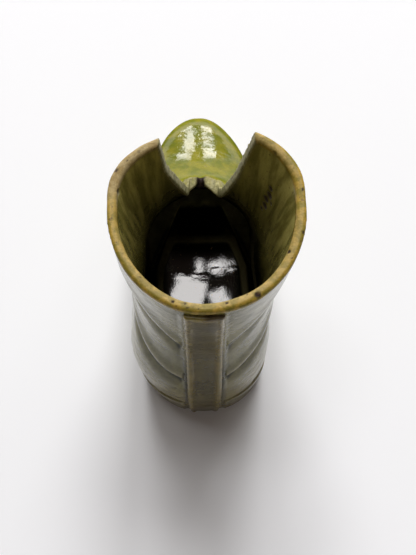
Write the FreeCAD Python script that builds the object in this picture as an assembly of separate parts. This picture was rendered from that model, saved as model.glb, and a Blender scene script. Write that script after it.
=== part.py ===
import FreeCAD, Part
import math
import os

# A hollow pottery boot, ten centimetres tall, made of clay elements luted together before firing.
# Millimetres. +Z is up and +Y points to the toe. The elements are first laid out with the seam
# plane at x = 0 and the back of the mouth at y = 0, and then moved so that the origin is the
# middle of the footprint box on the floor.

# Overall sizes
HEIGHT = 100.0
LENGTH = 112.0
WALL = 2.9

# Mouth of the leg: its back arc, its front arc and its lean to the right
MOUTH_LENGTH = 55.0
MOUTH_WIDTH = 53.8
MOUTH_CENTRE = 30.5
MOUTH_ARC = 20.5
MOUTH_LEAN = 1.3
LIP_RADIUS = 0.9

# Ankle, the narrowest level of the leg
ANKLE_HEIGHT = 56.0
ANKLE_WIDTH = 41.4
ANKLE_THROAT_WIDTH = 39.8
ANKLE_INSET = 3.4
ANKLE_CENTRE = 22.5

# Counter, the fullest level of the heel, and its lean to the left
COUNTER_HEIGHT = 25.0
COUNTER_WIDTH = 44.6
COUNTER_INSET = 0.9
COUNTER_LEAN = 1.2

# Foot: the seat of the heel on the floor, the ball, the instep and the toe
SEAT_WIDTH = 40.0
SEAT_INSET = 1.8
SEAT_CENTRE = 20.0
TREAD_WIDTH = 44.0
BALL_WIDTH = 44.4
BALL_HEIGHT = 6.0
INSTEP_WIDTH = 39.2
INSTEP_HEIGHT = 38.0
TOE_ARC = 38.7
WAIST_DEPTH = 1.6
WAIST_HEIGHT = 40.0

# Shares that draw the front of the boot from the toe to the mouth: the level as a share of
# HEIGHT, how far it reaches from MOUTH_LENGTH towards the toe's tip, and how far its rounded
# front has grown from MOUTH_ARC towards TOE_ARC
FRONT_SHARES = (
    (0.00, 0.990, 1.00),
    (0.06, 1.000, 1.00),
    (0.12, 0.990, 0.96),
    (0.20, 0.880, 0.80),
    (0.28, 0.572, 0.33),
    (0.36, 0.352, 0.08),
    (0.44, 0.220, 0.05),
    (0.52, 0.127, 0.04),
    (0.60, 0.070, 0.05),
    (0.70, 0.035, 0.03),
    (0.85, 0.010, 0.01),
    (1.00, 0.000, 0.00),
)

# Roundness of the front outline: 2 is an ellipse and less is more pointed
TOE_ROUNDNESS = 1.85
MOUTH_ROUNDNESS = 2.0

# Two folds that hang round the back of the ankle. Each has a crease with a crest above it, and
# climbs from the back to the sides by its own rise, within its own share of the way to the front.
FOLD_SPREAD = 2.3
CREST_GAP = 5.0
CREST_SHARE = 0.55
FOLD_REACH_SHARE = 0.75
FOLD_CLEARANCE = 24.0
LOWER_FOLD_HEIGHT = 33.0
LOWER_FOLD_DEPTH = 1.5
LOWER_FOLD_RISE = 26.0
LOWER_CLIMB_SHARE = 0.48
UPPER_FOLD_HEIGHT = 55.5
UPPER_FOLD_DEPTH = 1.4
UPPER_FOLD_RISE = 28.0
UPPER_CLIMB_SHARE = 0.31
RIGHT_UPPER_SHARE = 0.6

# Eased edge of each half along the seam up the vamp
SEAM_WIDTH = 0.9
SEAM_DEPTH = 0.5

# Notch cut down the front of the leg, with a nick where the seam opens. The shares draw its
# sides: how far up from its floor to the rim, and how far out each side is of its place at the rim.
NOTCH_FLOOR = 48.0
NOTCH_TOP_LEFT = 11.3
NOTCH_TOP_RIGHT = 15.0
NOTCH_SIDE_SHARES = (
    (0.00, 0.30, 0.36),
    (0.25, 0.42, 0.46),
    (0.68, 0.88, 0.78),
    (1.00, 1.00, 1.00),
)
NICK_WIDTH = 3.6
NICK_DEPTH = 4.5

# Sole and heel
HEEL_HEIGHT = 7.0
HEEL_LENGTH = 36.0
HEEL_HOLLOW = 2.5
SOLE_THICKNESS = 4.2
SHANK_LENGTH = 25.0
TOE_SPRING = 1.4
TOE_SPRING_LENGTH = 22.0
SOLE_LEDGE = 0.4

# Back strap of two ribs with a sunk panel between them, and the pull tab at its top
STRAP_WIDTH = 11.2
STRAP_TOP_GAP = 3.0
STRAP_FOOT_GAP = 0.8
RIB_WIDTH = 2.3
RIB_STANDING = 1.3
PANEL_STANDING = 0.5
STRAP_EDGE_STANDING = 0.3
GROOVE_WIDTH = 1.1
GROOVE_DEPTH = 0.6
TAB_LENGTH = 33.0
TAB_STANDING = 1.2
TAB_GAP = 0.15

# Ways to work: how many level curves draw the outside, the hollow, the lip and the strap, how many
# chords round a rib, how many points each stretch of a level curve has, and how far a cut runs
# past what it cuts
LEVEL_COUNT = 34
CORE_LEVEL_COUNT = 20
LIP_STEPS = 2
STRAP_LEVEL_COUNT = 14
RIB_STEPS = 5
HEEL_POINTS = 13
SIDE_POINTS = 5
FRONT_POINTS = 9
OVERRUN = 5.0

LEFT = -1
RIGHT = 1


def smooth(knots, at):
    """Monotone curve through (place, value) knots, held level past both ends."""
    places = [knot[0] for knot in knots]
    values = [knot[1] for knot in knots]
    if at <= places[0]:
        return values[0]
    if at >= places[-1]:
        return values[-1]
    spans = [right - left for left, right in zip(places, places[1:])]
    rates = [(high - low) / span for low, high, span in zip(values, values[1:], spans)]
    slopes = [rates[0]]
    for before, after, near, far in zip(rates, rates[1:], spans, spans[1:]):
        if before * after <= 0:
            slopes.append(0.0)
        else:
            first, second = 2 * far + near, far + 2 * near
            slopes.append((first + second) / (first / before + second / after))
    slopes.append(rates[-1])
    index = max(i for i in range(len(spans)) if places[i] <= at)
    t = (at - places[index]) / spans[index]
    start, end = values[index], values[index + 1]
    lift = (t - 1) * (t - 1) * t * slopes[index] + (t - 1) * t * t * slopes[index + 1]
    return start + (end - start) * (3 - 2 * t) * t * t + lift * spans[index]


def back_at(height):
    knots = ((0, SEAT_INSET), (COUNTER_HEIGHT, COUNTER_INSET), (ANKLE_HEIGHT, ANKLE_INSET), (HEIGHT, 0))
    return smooth(knots, height)


def front_at(height):
    reach = LENGTH - SOLE_LEDGE - MOUTH_LENGTH
    return smooth([(row[0] * HEIGHT, MOUTH_LENGTH + row[1] * reach) for row in FRONT_SHARES], height)


def front_arc_at(height):
    growth = TOE_ARC - MOUTH_ARC
    return smooth([(row[0] * HEIGHT, MOUTH_ARC + row[2] * growth) for row in FRONT_SHARES], height)


def heel_centre_at(height):
    heel = ((0, SEAT_CENTRE), (COUNTER_HEIGHT, SEAT_CENTRE))
    leg = ((ANKLE_HEIGHT, ANKLE_CENTRE), (HEIGHT, MOUTH_CENTRE))
    return smooth(heel + leg, height)


def heel_width_at(height):
    heel = ((0, SEAT_WIDTH), (COUNTER_HEIGHT, COUNTER_WIDTH))
    leg = ((ANKLE_HEIGHT, ANKLE_WIDTH), (HEIGHT, MOUTH_WIDTH))
    return smooth(heel + leg, height)


def front_width_at(height):
    foot = ((0, TREAD_WIDTH), (BALL_HEIGHT, BALL_WIDTH), (INSTEP_HEIGHT, INSTEP_WIDTH))
    leg = ((ANKLE_HEIGHT, ANKLE_THROAT_WIDTH), (HEIGHT, MOUTH_WIDTH))
    return smooth(foot + leg, height)


def lean_at(height):
    knots = ((0, 0), (COUNTER_HEIGHT, -COUNTER_LEAN), (ANKLE_HEIGHT, 0), (HEIGHT, MOUTH_LEAN))
    return smooth(knots, height)


def level_at(height, grow):
    """Sizes of the level curve at a height, grown outwards by a length, or inwards if negative."""
    step = HEIGHT / LEVEL_COUNT
    rise = (front_at(height + step) - front_at(height - step)) / (2 * step)
    slant = math.hypot(1, rise)
    front = front_at(height) + grow * slant
    roundness = TOE_ROUNDNESS + (MOUTH_ROUNDNESS - TOE_ROUNDNESS) * min(height / HEIGHT, 1)
    return {
        "back": back_at(height) - grow,
        "heel_centre": heel_centre_at(height),
        "heel_half": heel_width_at(height) / 2 + grow,
        "front_centre": front_at(height) - front_arc_at(height),
        "front_half": front_width_at(height) / 2 + grow,
        "front": front,
        "roundness": roundness,
        "waist": WAIST_DEPTH * max(0, 1 - height / WAIST_HEIGHT),
        "lean": lean_at(height),
    }


def fold_sink(height, turn, side):
    """How far the surface sinks at the folds. The turn is 0 at the back, grows by a third over
    each stretch of the half outline and is 1 at the front."""
    if turn >= FOLD_REACH_SHARE:
        return 0.0
    upper_depth = UPPER_FOLD_DEPTH * (RIGHT_UPPER_SHARE if side == RIGHT else 1)
    folds = (
        (LOWER_FOLD_HEIGHT, LOWER_FOLD_DEPTH, LOWER_FOLD_RISE, LOWER_CLIMB_SHARE),
        (UPPER_FOLD_HEIGHT, upper_depth, UPPER_FOLD_RISE, UPPER_CLIMB_SHARE),
    )
    fade = (1 + math.cos(math.pi * turn / FOLD_REACH_SHARE)) / 2 * min(1, (HEIGHT - height) / FOLD_CLEARANCE)
    heel_arc = math.pi / 4 * ANKLE_WIDTH
    sink = 0.0
    for start, depth, rise, climb_share in folds:
        angle = math.pi / 2 * min(1, turn / climb_share)
        slope = rise * math.pi / 2 / climb_share * math.sin(2 * angle) / (3 * heel_arc)
        above = (height - start - rise * math.sin(angle) ** 2) / math.hypot(1, slope)
        crease = math.exp(-((above / FOLD_SPREAD) ** 2))
        crest = math.exp(-(((above - CREST_GAP) / FOLD_SPREAD) ** 2))
        sink += depth * (crease - CREST_SHARE * crest)
    return sink * fade


def stretch_point(level, stretch, t, sink, last_angle):
    """A point of the half outline as (out, along), in its heel, side or front stretch."""
    heel_half = level["heel_half"] - sink
    front_half = level["front_half"] - sink
    if stretch == "heel":
        angle = t * math.pi / 2
        run = level["heel_centre"] - level["back"] - sink
        return heel_half * math.sin(angle), level["heel_centre"] - run * math.cos(angle)
    if stretch == "side":
        blend = t * t * (3 - 2 * t)
        waist = level["waist"] * (4 * t * (1 - t)) ** 2
        along = level["heel_centre"] + (level["front_centre"] - level["heel_centre"]) * t
        return heel_half + (front_half - heel_half) * blend - waist, along
    angle = t * last_angle
    power = 2 / level["roundness"]
    run = level["front"] - level["front_centre"]
    out = front_half * max(math.cos(angle), 0.0) ** power
    return out, level["front_centre"] + run * math.sin(angle) ** power


def half_outline(height, side, grow, folded, seam_gap):
    """Points of one side's level curve, from the back to where it is seam_gap from the seam."""
    level = level_at(height, grow)
    last_angle = math.acos((seam_gap / level["front_half"]) ** (level["roundness"] / 2))
    places = [("heel", i / HEEL_POINTS, 0) for i in range(HEEL_POINTS)]
    places += [("side", i / SIDE_POINTS, 1) for i in range(SIDE_POINTS)]
    places += [("front", i / FRONT_POINTS, 2) for i in range(FRONT_POINTS + 1)]
    points = []
    for stretch, t, stretches_before in places:
        sink = fold_sink(height, (stretches_before + t) / 3, side) if folded else 0.0
        out, along = stretch_point(level, stretch, t, sink, last_angle)
        lean = level["lean"] * min(1, 2 * out / level["heel_half"])
        points.append(FreeCAD.Vector(side * out + lean, along, height))
    return points


def outline_edge(points):
    """Smooth edge through the points of a half outline."""
    shares = [index / (len(points) - 1) for index in range(len(points))]
    curve = Part.BSplineCurve()
    curve.interpolate(Points=points, Parameters=shares)
    return curve.toShape()


def closed_wire(edge, corners):
    """Wire of an edge closed through corner points."""
    ends = [edge.Vertexes[-1].Point] + corners + [edge.Vertexes[0].Point]
    lines = [Part.LineSegment(start, end).toShape() for start, end in zip(ends, ends[1:])]
    return Part.Wire([edge] + lines)


def even_levels(top, whole_count):
    """(height, inset) levels from the floor to a height, as closely as whole_count in HEIGHT."""
    count = max(3, round(whole_count * top / HEIGHT))
    return [(top * index / count, 0.0) for index in range(count + 1)]


def lip_levels():
    """(height, inset) levels of the quarter round of the lip, up to the rim."""
    levels = []
    for step in range(LIP_STEPS + 1):
        angle = step / LIP_STEPS * math.pi / 2
        rise = LIP_RADIUS * math.sin(angle)
        levels.append((HEIGHT - LIP_RADIUS + rise, LIP_RADIUS * (1 - math.cos(angle))))
    return levels


def outer_half(side, levels, ruled):
    """Solid of one side of the boot through (height, inset) levels, flat on the seam plane."""
    wires = []
    for height, inset in levels:
        points = half_outline(height, side, -inset, True, SEAM_WIDTH)
        edge = outline_edge(points)
        seam = FreeCAD.Vector(0, points[-1].y - SEAM_DEPTH, height)
        wires.append(closed_wire(edge, [seam]))
    return Part.makeLoft(wires, True, ruled)


def whole_block(grow, top):
    """Solid of both sides of the boot from the floor up to a height, without folds."""
    wires = []
    for height, inset in even_levels(top, LEVEL_COUNT):
        right = half_outline(height, RIGHT, grow - inset, False, SEAM_WIDTH)
        left = half_outline(height, LEFT, grow - inset, False, SEAM_WIDTH)
        seam = FreeCAD.Vector(0, right[-1].y - SEAM_DEPTH, height)
        edges = [
            outline_edge(right),
            Part.LineSegment(right[-1], seam).toShape(),
            Part.LineSegment(seam, left[-1]).toShape(),
            outline_edge(left[::-1]),
        ]
        wires.append(Part.Wire(edges))
    return Part.makeLoft(wires, True, False)


def core_half(side, levels, ruled):
    """Solid of one side of the hollow through (height, inset) levels, past the seam plane."""
    wires = []
    past = -side * OVERRUN
    for height, inset in levels:
        points = half_outline(height, side, inset - WALL, False, 0)
        edge = outline_edge(points)
        corners = [FreeCAD.Vector(past, points[-1].y, height), FreeCAD.Vector(past, points[0].y, height)]
        wires.append(closed_wire(edge, corners))
    return Part.makeLoft(wires, True, ruled)


def lip_half(side):
    """The rounded lip of one half, from where its rounding starts to the rim."""
    levels = lip_levels()
    hollow = [(levels[0][0] - OVERRUN, 0.0)] + levels + [(HEIGHT + OVERRUN, LIP_RADIUS)]
    return outer_half(side, levels, True).cut(core_half(side, hollow, True))


def side_profile_edges(lift):
    """Edges of the sole's underside in the seam plane, from past the heel to past the toe."""
    heel_end = FreeCAD.Vector(0, HEEL_LENGTH, HEEL_HEIGHT + lift)
    tread = FreeCAD.Vector(0, HEEL_LENGTH + SHANK_LENGTH, lift)
    spring = FreeCAD.Vector(0, LENGTH - TOE_SPRING_LENGTH, lift)
    past_heel = FreeCAD.Vector(0, -OVERRUN, HEEL_HEIGHT + lift)
    bend = FreeCAD.Vector(0, SHANK_LENGTH / 2, 0)
    shank = Part.BezierCurve()
    shank.setPoles([heel_end, heel_end + bend, tread - bend, tread])
    tip = FreeCAD.Vector(0, LENGTH, TOE_SPRING + lift)
    past_tip = FreeCAD.Vector(0, LENGTH + OVERRUN, TOE_SPRING * (1 + 2 * OVERRUN / TOE_SPRING_LENGTH) + lift)
    toe = Part.BezierCurve()
    toe.setPoles([spring, spring + FreeCAD.Vector(0, TOE_SPRING_LENGTH / 2, 0), tip])
    return [
        Part.LineSegment(past_heel, heel_end).toShape(),
        shank.toShape(),
        Part.LineSegment(tread, spring).toShape(),
        toe.toShape(),
        Part.LineSegment(tip, past_tip).toShape(),
    ]


def across(edges, closing):
    """Solid of a side profile, closed through points and extruded across the whole width."""
    ends = [edges[-1].Vertexes[-1].Point] + closing + [edges[0].Vertexes[0].Point]
    lines = [Part.LineSegment(start, end).toShape() for start, end in zip(ends, ends[1:])]
    face = Part.Face(Part.Wire(edges + lines))
    half = MOUTH_WIDTH / 2 + OVERRUN
    face.translate(FreeCAD.Vector(-half, 0, 0))
    return face.extrude(FreeCAD.Vector(2 * half, 0, 0))


def floor_corners():
    return [FreeCAD.Vector(0, LENGTH + OVERRUN, -OVERRUN), FreeCAD.Vector(0, -OVERRUN, -OVERRUN)]


def below_upper():
    """Everything below the top of the sole."""
    return across(side_profile_edges(SOLE_THICKNESS), floor_corners())


def below_sole():
    """Everything below the underside of the sole."""
    return across(side_profile_edges(0), floor_corners())


def surface_at(out, height):
    """Distance from the back to the unfolded surface, at a place out from the seam plane."""
    level = level_at(height, 0)
    run = level["heel_centre"] - level["back"]
    return level["heel_centre"] - run * math.sqrt(1 - (out / level["heel_half"]) ** 2)


def strip_loft(low, high, section):
    """Loft of cross-sections that follow the back of the boot between two heights."""
    wires = []
    for index in range(STRAP_LEVEL_COUNT + 1):
        height = low + (high - low) * index / STRAP_LEVEL_COUNT
        wires.append(Part.Wire([piece.toShape() for piece in section(height)]))
    return Part.makeLoft(wires, True, False)


def proud_point(out, standing, height):
    """Point at the back, standing proud of the unfolded surface, or sunk into it if negative."""
    return FreeCAD.Vector(out, surface_at(out, height) - standing, height)


def curve_through(points):
    """Smooth curve through points."""
    curve = Part.BSplineCurve()
    curve.interpolate(points)
    return curve


def chords_through(points):
    return [Part.LineSegment(start, end) for start, end in zip(points, points[1:])]


def band_section(height, half, outside, inside):
    """Curved band across the back, between two standing heights."""
    outer = [proud_point(out, outside, height) for out in (-half, 0, half)]
    inner = [proud_point(out, inside, height) for out in (half, 0, -half)]
    return [
        curve_through(outer),
        Part.LineSegment(outer[-1], inner[0]),
        curve_through(inner),
        Part.LineSegment(inner[-1], outer[0]),
    ]


def rib_points(side, height):
    """Points over one rib of the strap, from the strap's edge to the sunk panel."""
    points = []
    for step in range(RIB_STEPS + 1):
        angle = math.pi * step / RIB_STEPS
        inwards = (1 - math.cos(angle)) / 2
        base = STRAP_EDGE_STANDING + (PANEL_STANDING - STRAP_EDGE_STANDING) * inwards
        standing = base + (RIB_STANDING - base) * math.sin(angle)
        points.append(proud_point(side * (STRAP_WIDTH / 2 - RIB_WIDTH * inwards), standing, height))
    return points


def strap_section(height):
    """The strap's ribs and sunk panel, bedded halfway into the wall."""
    left = rib_points(LEFT, height)
    right = rib_points(RIGHT, height)[::-1]
    panel = curve_through([left[-1], proud_point(0, PANEL_STANDING, height), right[0]])
    beds = [proud_point(side * STRAP_WIDTH / 2, -WALL / 2, height) for side in (RIGHT, LEFT)]
    return chords_through(left) + [panel] + chords_through(right + beds + left[:1])


def strap_channel():
    """Shallow channel that the strap is bedded in, a groove's width wider on each side."""
    half = STRAP_WIDTH / 2 + GROOVE_WIDTH
    top = HEIGHT - STRAP_TOP_GAP
    return strip_loft(-OVERRUN, top, lambda height: band_section(height, half, OVERRUN, -GROOVE_DEPTH))


def notch():
    """Cut through the front of the leg, from the rim down to the floor of the notch."""
    rise = HEIGHT - NOTCH_FLOOR
    rows = [(NOTCH_FLOOR + up * rise, left, right) for up, left, right in NOTCH_SIDE_SHARES]
    rows.append((HEIGHT + OVERRUN, 1, 1))
    left_side = [(-NOTCH_TOP_LEFT * left, height) for height, left, right in rows]
    right_side = [(NOTCH_TOP_RIGHT * right, height) for height, left, right in rows]
    nick = [(-NICK_WIDTH / 2, NOTCH_FLOOR), (0, NOTCH_FLOOR - NICK_DEPTH), (NICK_WIDTH / 2, NOTCH_FLOOR)]
    outline = left_side[::-1] + nick + right_side
    corners = [FreeCAD.Vector(out, MOUTH_CENTRE, height) for out, height in outline]
    face = Part.Face(Part.makePolygon(corners + corners[:1]))
    return face.extrude(FreeCAD.Vector(0, LENGTH - MOUTH_CENTRE, 0))


def upper_half(side, channel):
    """One moulded half of the leg and foot, from the top of the sole to the rim."""
    top = HEIGHT - LIP_RADIUS
    hollow = even_levels(top, CORE_LEVEL_COUNT) + [(top + HEIGHT / CORE_LEVEL_COUNT, 0.0)]
    leg = outer_half(side, even_levels(top, LEVEL_COUNT), False).cut(core_half(side, hollow, False))
    return leg.cut(below_upper()).fuse(lip_half(side)).cut(notch()).cut(channel)


def outsole(channel):
    """The sole, from heel to toe, standing proud of the upper by its ledge."""
    block = whole_block(SOLE_LEDGE, HEEL_HEIGHT + SOLE_THICKNESS + OVERRUN)
    return block.common(below_upper()).cut(below_sole()).cut(channel)


def heel_block(channel):
    """The heel under the sole, with a hollowed breast."""
    block = whole_block(0, HEEL_HEIGHT)
    half = SEAT_WIDTH
    front = FreeCAD.Vector(0, HEEL_LENGTH - HEEL_HOLLOW, 0)
    corner = FreeCAD.Vector(half, HEEL_LENGTH + HEEL_HOLLOW, 0)
    other = FreeCAD.Vector(-half, HEEL_LENGTH + HEEL_HOLLOW, 0)
    breast = Part.Arc(other, front, corner).toShape()
    past = [FreeCAD.Vector(half, LENGTH + OVERRUN, 0), FreeCAD.Vector(-half, LENGTH + OVERRUN, 0)]
    face = Part.Face(closed_wire(breast, past))
    face.translate(FreeCAD.Vector(0, 0, -OVERRUN))
    return block.cut(face.extrude(FreeCAD.Vector(0, 0, HEEL_HEIGHT + 2 * OVERRUN))).cut(channel)


def back_strap(bodies):
    """The strap up the back seam, bedded on the elements it covers."""
    strap = strip_loft(STRAP_FOOT_GAP, HEIGHT - STRAP_TOP_GAP, strap_section)
    for body in bodies:
        strap = strap.cut(body)
    return strap


def pull_tab(strap):
    """The tab in the strap's sunk panel, a gap clear of the ribs, seated on the panel."""
    half = STRAP_WIDTH / 2 - RIB_WIDTH - TAB_GAP
    top = HEIGHT - STRAP_TOP_GAP
    tab = strip_loft(top - TAB_LENGTH, top, lambda height: band_section(height, half, TAB_STANDING, 0))
    return tab.cut(strap)


def main():
    channel = strap_channel()
    left = upper_half(LEFT, channel)
    right = upper_half(RIGHT, channel)
    sole = outsole(channel)
    heel = heel_block(channel)
    strap = back_strap([left, right, sole, heel])
    tab = pull_tab(strap)
    nodes = {
        "upper_left_half": left,
        "upper_right_half": right,
        "outsole": sole,
        "heel_block": heel,
        "back_strap": strap,
        "pull_tab": tab,
    }
    box = Part.makeCompound(list(nodes.values())).optimalBoundingBox()
    os.makedirs("parts", exist_ok=True)
    for name, shape in nodes.items():
        shape.translate(FreeCAD.Vector(-box.Center.x, -box.Center.y, 0))
        shape.exportStep("parts/" + name + ".step")
        print(name, shape.isValid(), len(shape.Solids), round(shape.Volume, 1))
    print("size", box.XLength, box.YLength, box.ZLength, "floor", box.ZMin)


main()
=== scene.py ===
import math
import random
import bmesh
import bpy
import numpy as np
from mathutils import Matrix, Vector, noise


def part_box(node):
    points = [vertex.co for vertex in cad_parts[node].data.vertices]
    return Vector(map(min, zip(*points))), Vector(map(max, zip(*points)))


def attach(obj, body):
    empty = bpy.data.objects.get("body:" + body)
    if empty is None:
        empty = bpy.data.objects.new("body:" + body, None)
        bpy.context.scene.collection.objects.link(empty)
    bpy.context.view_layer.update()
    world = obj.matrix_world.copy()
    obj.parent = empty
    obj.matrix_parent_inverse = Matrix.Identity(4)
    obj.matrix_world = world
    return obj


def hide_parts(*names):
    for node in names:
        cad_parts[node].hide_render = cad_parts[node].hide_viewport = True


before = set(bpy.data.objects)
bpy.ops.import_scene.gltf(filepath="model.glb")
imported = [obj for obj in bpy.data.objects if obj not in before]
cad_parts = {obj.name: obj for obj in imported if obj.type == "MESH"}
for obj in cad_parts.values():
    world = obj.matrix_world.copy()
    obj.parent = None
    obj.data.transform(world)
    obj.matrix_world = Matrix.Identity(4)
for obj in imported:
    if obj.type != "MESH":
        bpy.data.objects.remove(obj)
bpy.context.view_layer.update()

# A hollow pottery boot with a glossy olive lead glaze. Each clay element is remeshed from its
# solid, softened as a flowing glaze softens it, worn and chipped, and glazed. Places are in
# millimetres and become metres where a mesh or a lamp is made. A pair of numbers that bounds
# something is where it is 0 and where it is full, and the first may be the larger. A zone is a
# row of such pairs, each after the name of what it is measured along.
MM = 0.001

# Remeshing: the voxels' sizes, the reach that welds vertices or counts as on the seam, and how
# far the halves are lapped over each other there, so that they become one skin
VOXEL = 0.42
FINE_VOXEL = 0.3
WELD_REACH = 0.002
SEAM_REACH = 0.01
SEAM_OVERLAP = 0.25

# Smoothing: the rounds and steps that even out voxels, round edges, measure hollows and melt
EVEN_ROUNDS = 12
EVEN_STEPS = (0.5, -0.53)
EDGE_STEP = 0.5
LEG_EDGE_ROUNDS = 4
SOLE_EDGE_ROUNDS = 2
STRAP_EDGE_ROUNDS = 10
HOLLOW_ROUNDS = 28
MELT_ROUNDS = 30

# Creases on the leg that are pressed in further, by how many times their hollowness
CREASE_FROM = 0.02
CREASE_MOST = 0.16
CREASE_GAIN = 1.1
CREASE_ROUNDS = 8

# Places read from the solids
RIM_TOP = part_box("upper_left_half")[1][2] / MM
SEAM_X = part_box("upper_left_half")[1][0] / MM
SOLE_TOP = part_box("outsole")[1][2] / MM
STRAP_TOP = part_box("back_strap")[1][2] / MM
TAB_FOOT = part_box("pull_tab")[0][2] / MM

# The least height over the floor, and the least gap under the rim's height
FLOOR_GAP = 0.01
RIM_GAP = 0.02

# How far each seed of the noise is from the last
NOISE_SHIFT = (17.3, 5.1, 9.7)

# The middle line of the leg, from which its walls face out or in, and how much of that counts
LEG_BACK_Y = -35.0
LEG_FRONT_Y = -20.0
LEAST_REACH = 0.01
OUTWARD = (0.1, 0.5)
OUTSIDE = (0, 0.2)
INWARD = (0.1, -0.1)

# The notch's outline seen from the front, as (x, z) corners from the left of the rim to the right,
# its middle, how far back its walls reach, and a distance that counts as away from it
NOTCH = ((-12.6, 100), (-11.2, 83.4), (-6.0, 61), (-4.7, 48), (-3.1, 48), (-1.3, 43.5),
         (0.5, 48), (4.1, 48), (5.6, 61), (10.4, 83.4), (13.7, 100))
NOTCH_X = -0.4
NOTCH_BACK_Y = -12
FAR = 1e3

# The heights at which the strap's edges are read, and how much of it is read at each
STRAP_FIRST_LEVEL = 2
STRAP_LEVEL_STEP = 5.0
STRAP_LEVEL_REACH = 4

# The glaze that fills the corner beside the strap: how far it reaches out and in, where along the
# leg it lies, and how thick it is
CORNER_OUT = (1.6, 0)
CORNER_IN = (-2.5, -1.5)
CORNER_Y = (-30, -36)
CORNER_Z = (STRAP_TOP + 1, STRAP_TOP - 2)
CORNER_FILL = 1.2
CORNER_MELT = 0.8

# Chips that have broken out of the rim and iron spots on the walls, as place and radius
CHIPS = ((-23.2, -19.4, 98.2, 1.0), (18.4, -9.4, 99.2, 1.1), (21.3, -38.6, 99.2, 0.7),
         (12.6, -50.6, 99.6, 0.9), (-24.4, -13.4, 99.6, 0.8),
         (18.1, -12.4, 84.6, 1.1), (17.9, -13.0, 81.6, 1.5), (17.5, -12.4, 78.6, 1.3),
         (18.3, -14.6, 79.8, 0.9), (17.2, -12.9, 75.4, 1.4), (16.9, -12.2, 72.6, 1.0),
         (-19.4, -20.0, 82.0, 0.5), (-20.3, -24.0, 86.0, 0.4))
CHIP_DEPTH = 0.45

# Small chips, scattered along the rim's oval
SMALL_CHIPS = 16
CHIP_SEED = 5
SMALL_CHIP_RADIUS = (0.25, 0.5)
SMALL_CHIP_REACH = (0.9, 1.0)
SMALL_CHIP_DROP = 0.3
RIM_MIDDLE_Y = -24.8
RIM_HALF_WIDTH = 26.5
RIM_HALF_LENGTH = 30.0
RIM_FRONT_SHARE = 0.8

# The uneven rim: how far down it reaches, its noise as rows of height, scale and seed, and how
# far it and its worn front sink, evenly and with the noise
RIM_DEPTH = 6
RIM_NOISE = ((1.0, 13, 3), (0.4, 4, 4))
RIM_SINK = 0.25
RIM_WAVE = 0.25
WORN_FRONT = (("x", -6, -12), ("y", -26, -17), ("z", RIM_TOP - 2.6, RIM_TOP - 1.2))
WORN_SINK = 0.45
WORN_WAVE = 0.4

# The right corner of the notch, which stands further forward
LOBE = (("x", 4, 13), ("z", 66, 99), ("y", -24, -5))
LOBE_OUT = 1.5

# The clay at the foot of the notch, which stands out over the vamp
NOTCH_FOOT = (("z", 39, 46), ("beside_notch", 8.5, 5.5), ("y", 6.2, 8.4), ("y", 24, 14))
NOTCH_FOOT_OUT = 2.4

# The floor of the notch, which has broken away unevenly, and its inner edge, which is broken back
# to a point in the middle
NOTCH_FLOOR = (("z", 51, 48.3), ("z", 42.5, 44), ("y", -2, 1), ("y", 16, 13),
               ("beside_notch", 6.2, 4.8))
FLOOR_SINK = 0.5
CRUMB_NOISE = ((1.0, 2.2, 6),)
CRUMB_WAVE = 1.1
POINT_HALF_WIDTH = 5.2
POINT_HEIGHT = (("z", 40, 47), ("z", 52, 49))
POINT_FROM_Y = (1, 4)
POINT_FRONT_Y = 11
POINT_LENGTH = 5.5
POINT_BACK = 4.0

# The rough cut faces of the notch, by their distance from its outline
CUT_EDGE = (0.9, 0.3)
CUT_NOISE = ((1.0, 1.4, 7),)
CUT_ROUGHNESS = 0.16

# The swell of hand-pressed clay, and where the toe is calm
HAND_NOISE = ((0.15, 11, 1), (0.05, 3.5, 2))
CALM_TOE_Y = (14, 24)
TOE_CALM = 0.95

# The shares by which the left and right side of the toe are slimmer than their solid, where, and
# the reach over which they ease in from the seam
TOE_SLIM = (0.17, 0.07)
TOE_SLIM_Y = (14, 40)
TOE_SLIM_EASE = 6

# Where the glaze has run together on top of the toe, and more so along the seam
TOE_MELT_Y = (14, 20)
TOE_MELT_Z = (8, 11)
TOE_MELT_UP = (0, 0.4)
TOE_MELT = 0.88
SEAM_MELT = 0.07
SEAM_MELT_REACH = (4.5, 1.5)

# The outside of the leg where creases are deepened, clear of the strap
FOLD_OUTWARD = (0.2, 0.6)
FOLD_Y = (0, -10)
FOLD_FOOT_Z = (14, 18)
FOLD_TOP_Z = (RIM_TOP - 8, RIM_TOP - 14)
FOLD_FROM_STRAP = (1.2, 5)
FOLD_CLEAR_Y = (-34, -30)

# Where the leg's masks lie: the rim, its rubbed inner edge with a painted highlight, the raw cut
# faces, the spread of a chip's brown in radii, and the painted shade of the nick in the middle of
# the notch's foot
RIM_Z = (RIM_TOP - 2.4, RIM_TOP - 1.3)
RUBBED_HIGHLIGHT_HOLLOW = (-0.25, -0.5)
RUBBED_HIGHLIGHT_INWARD = (0.5, -0.2)
RUBBED_HIGHLIGHT_SHARE = 0.5
RAW_EDGE = (0.75, 0.3)
RAW_TOP_Z = (RIM_TOP - 0.4, RIM_TOP - 1.6)
CHIP_EDGE = (1.15, 0.7)
NICK_SHADE_HEIGHT = (("beside_seam", 1.5, 0.9), ("z", 47.6, 46.6), ("z", 41, 42.5))
NICK_SHADE_LENGTH = (("y", 5, 7), ("y", 18, 15))

# The painted shade of the well inside the leg: where it begins, how far down it is full, and its
# curve
WELL_TOP_Z = 96
WELL_DEPTH = 46
WELL_CURVE = 0.72

# The toe's greener colour, partly its own and partly painted light, the painted light low on the
# heel, the dull vamp, and the glaze that has pooled beside the strap
TOE_Y = (-24, 16)
HEEL_LIGHT_Z = (38, 14)
HEEL_LIGHT_Y = (-8, -30)
HEEL_LIGHT_SHARE = 0.75
VAMP_BACK_Y = (-14, 4)
VAMP_FRONT_Y = (33, 27)
VAMP_DULL = 0.85
POOL_Z = (62, 40)

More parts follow.
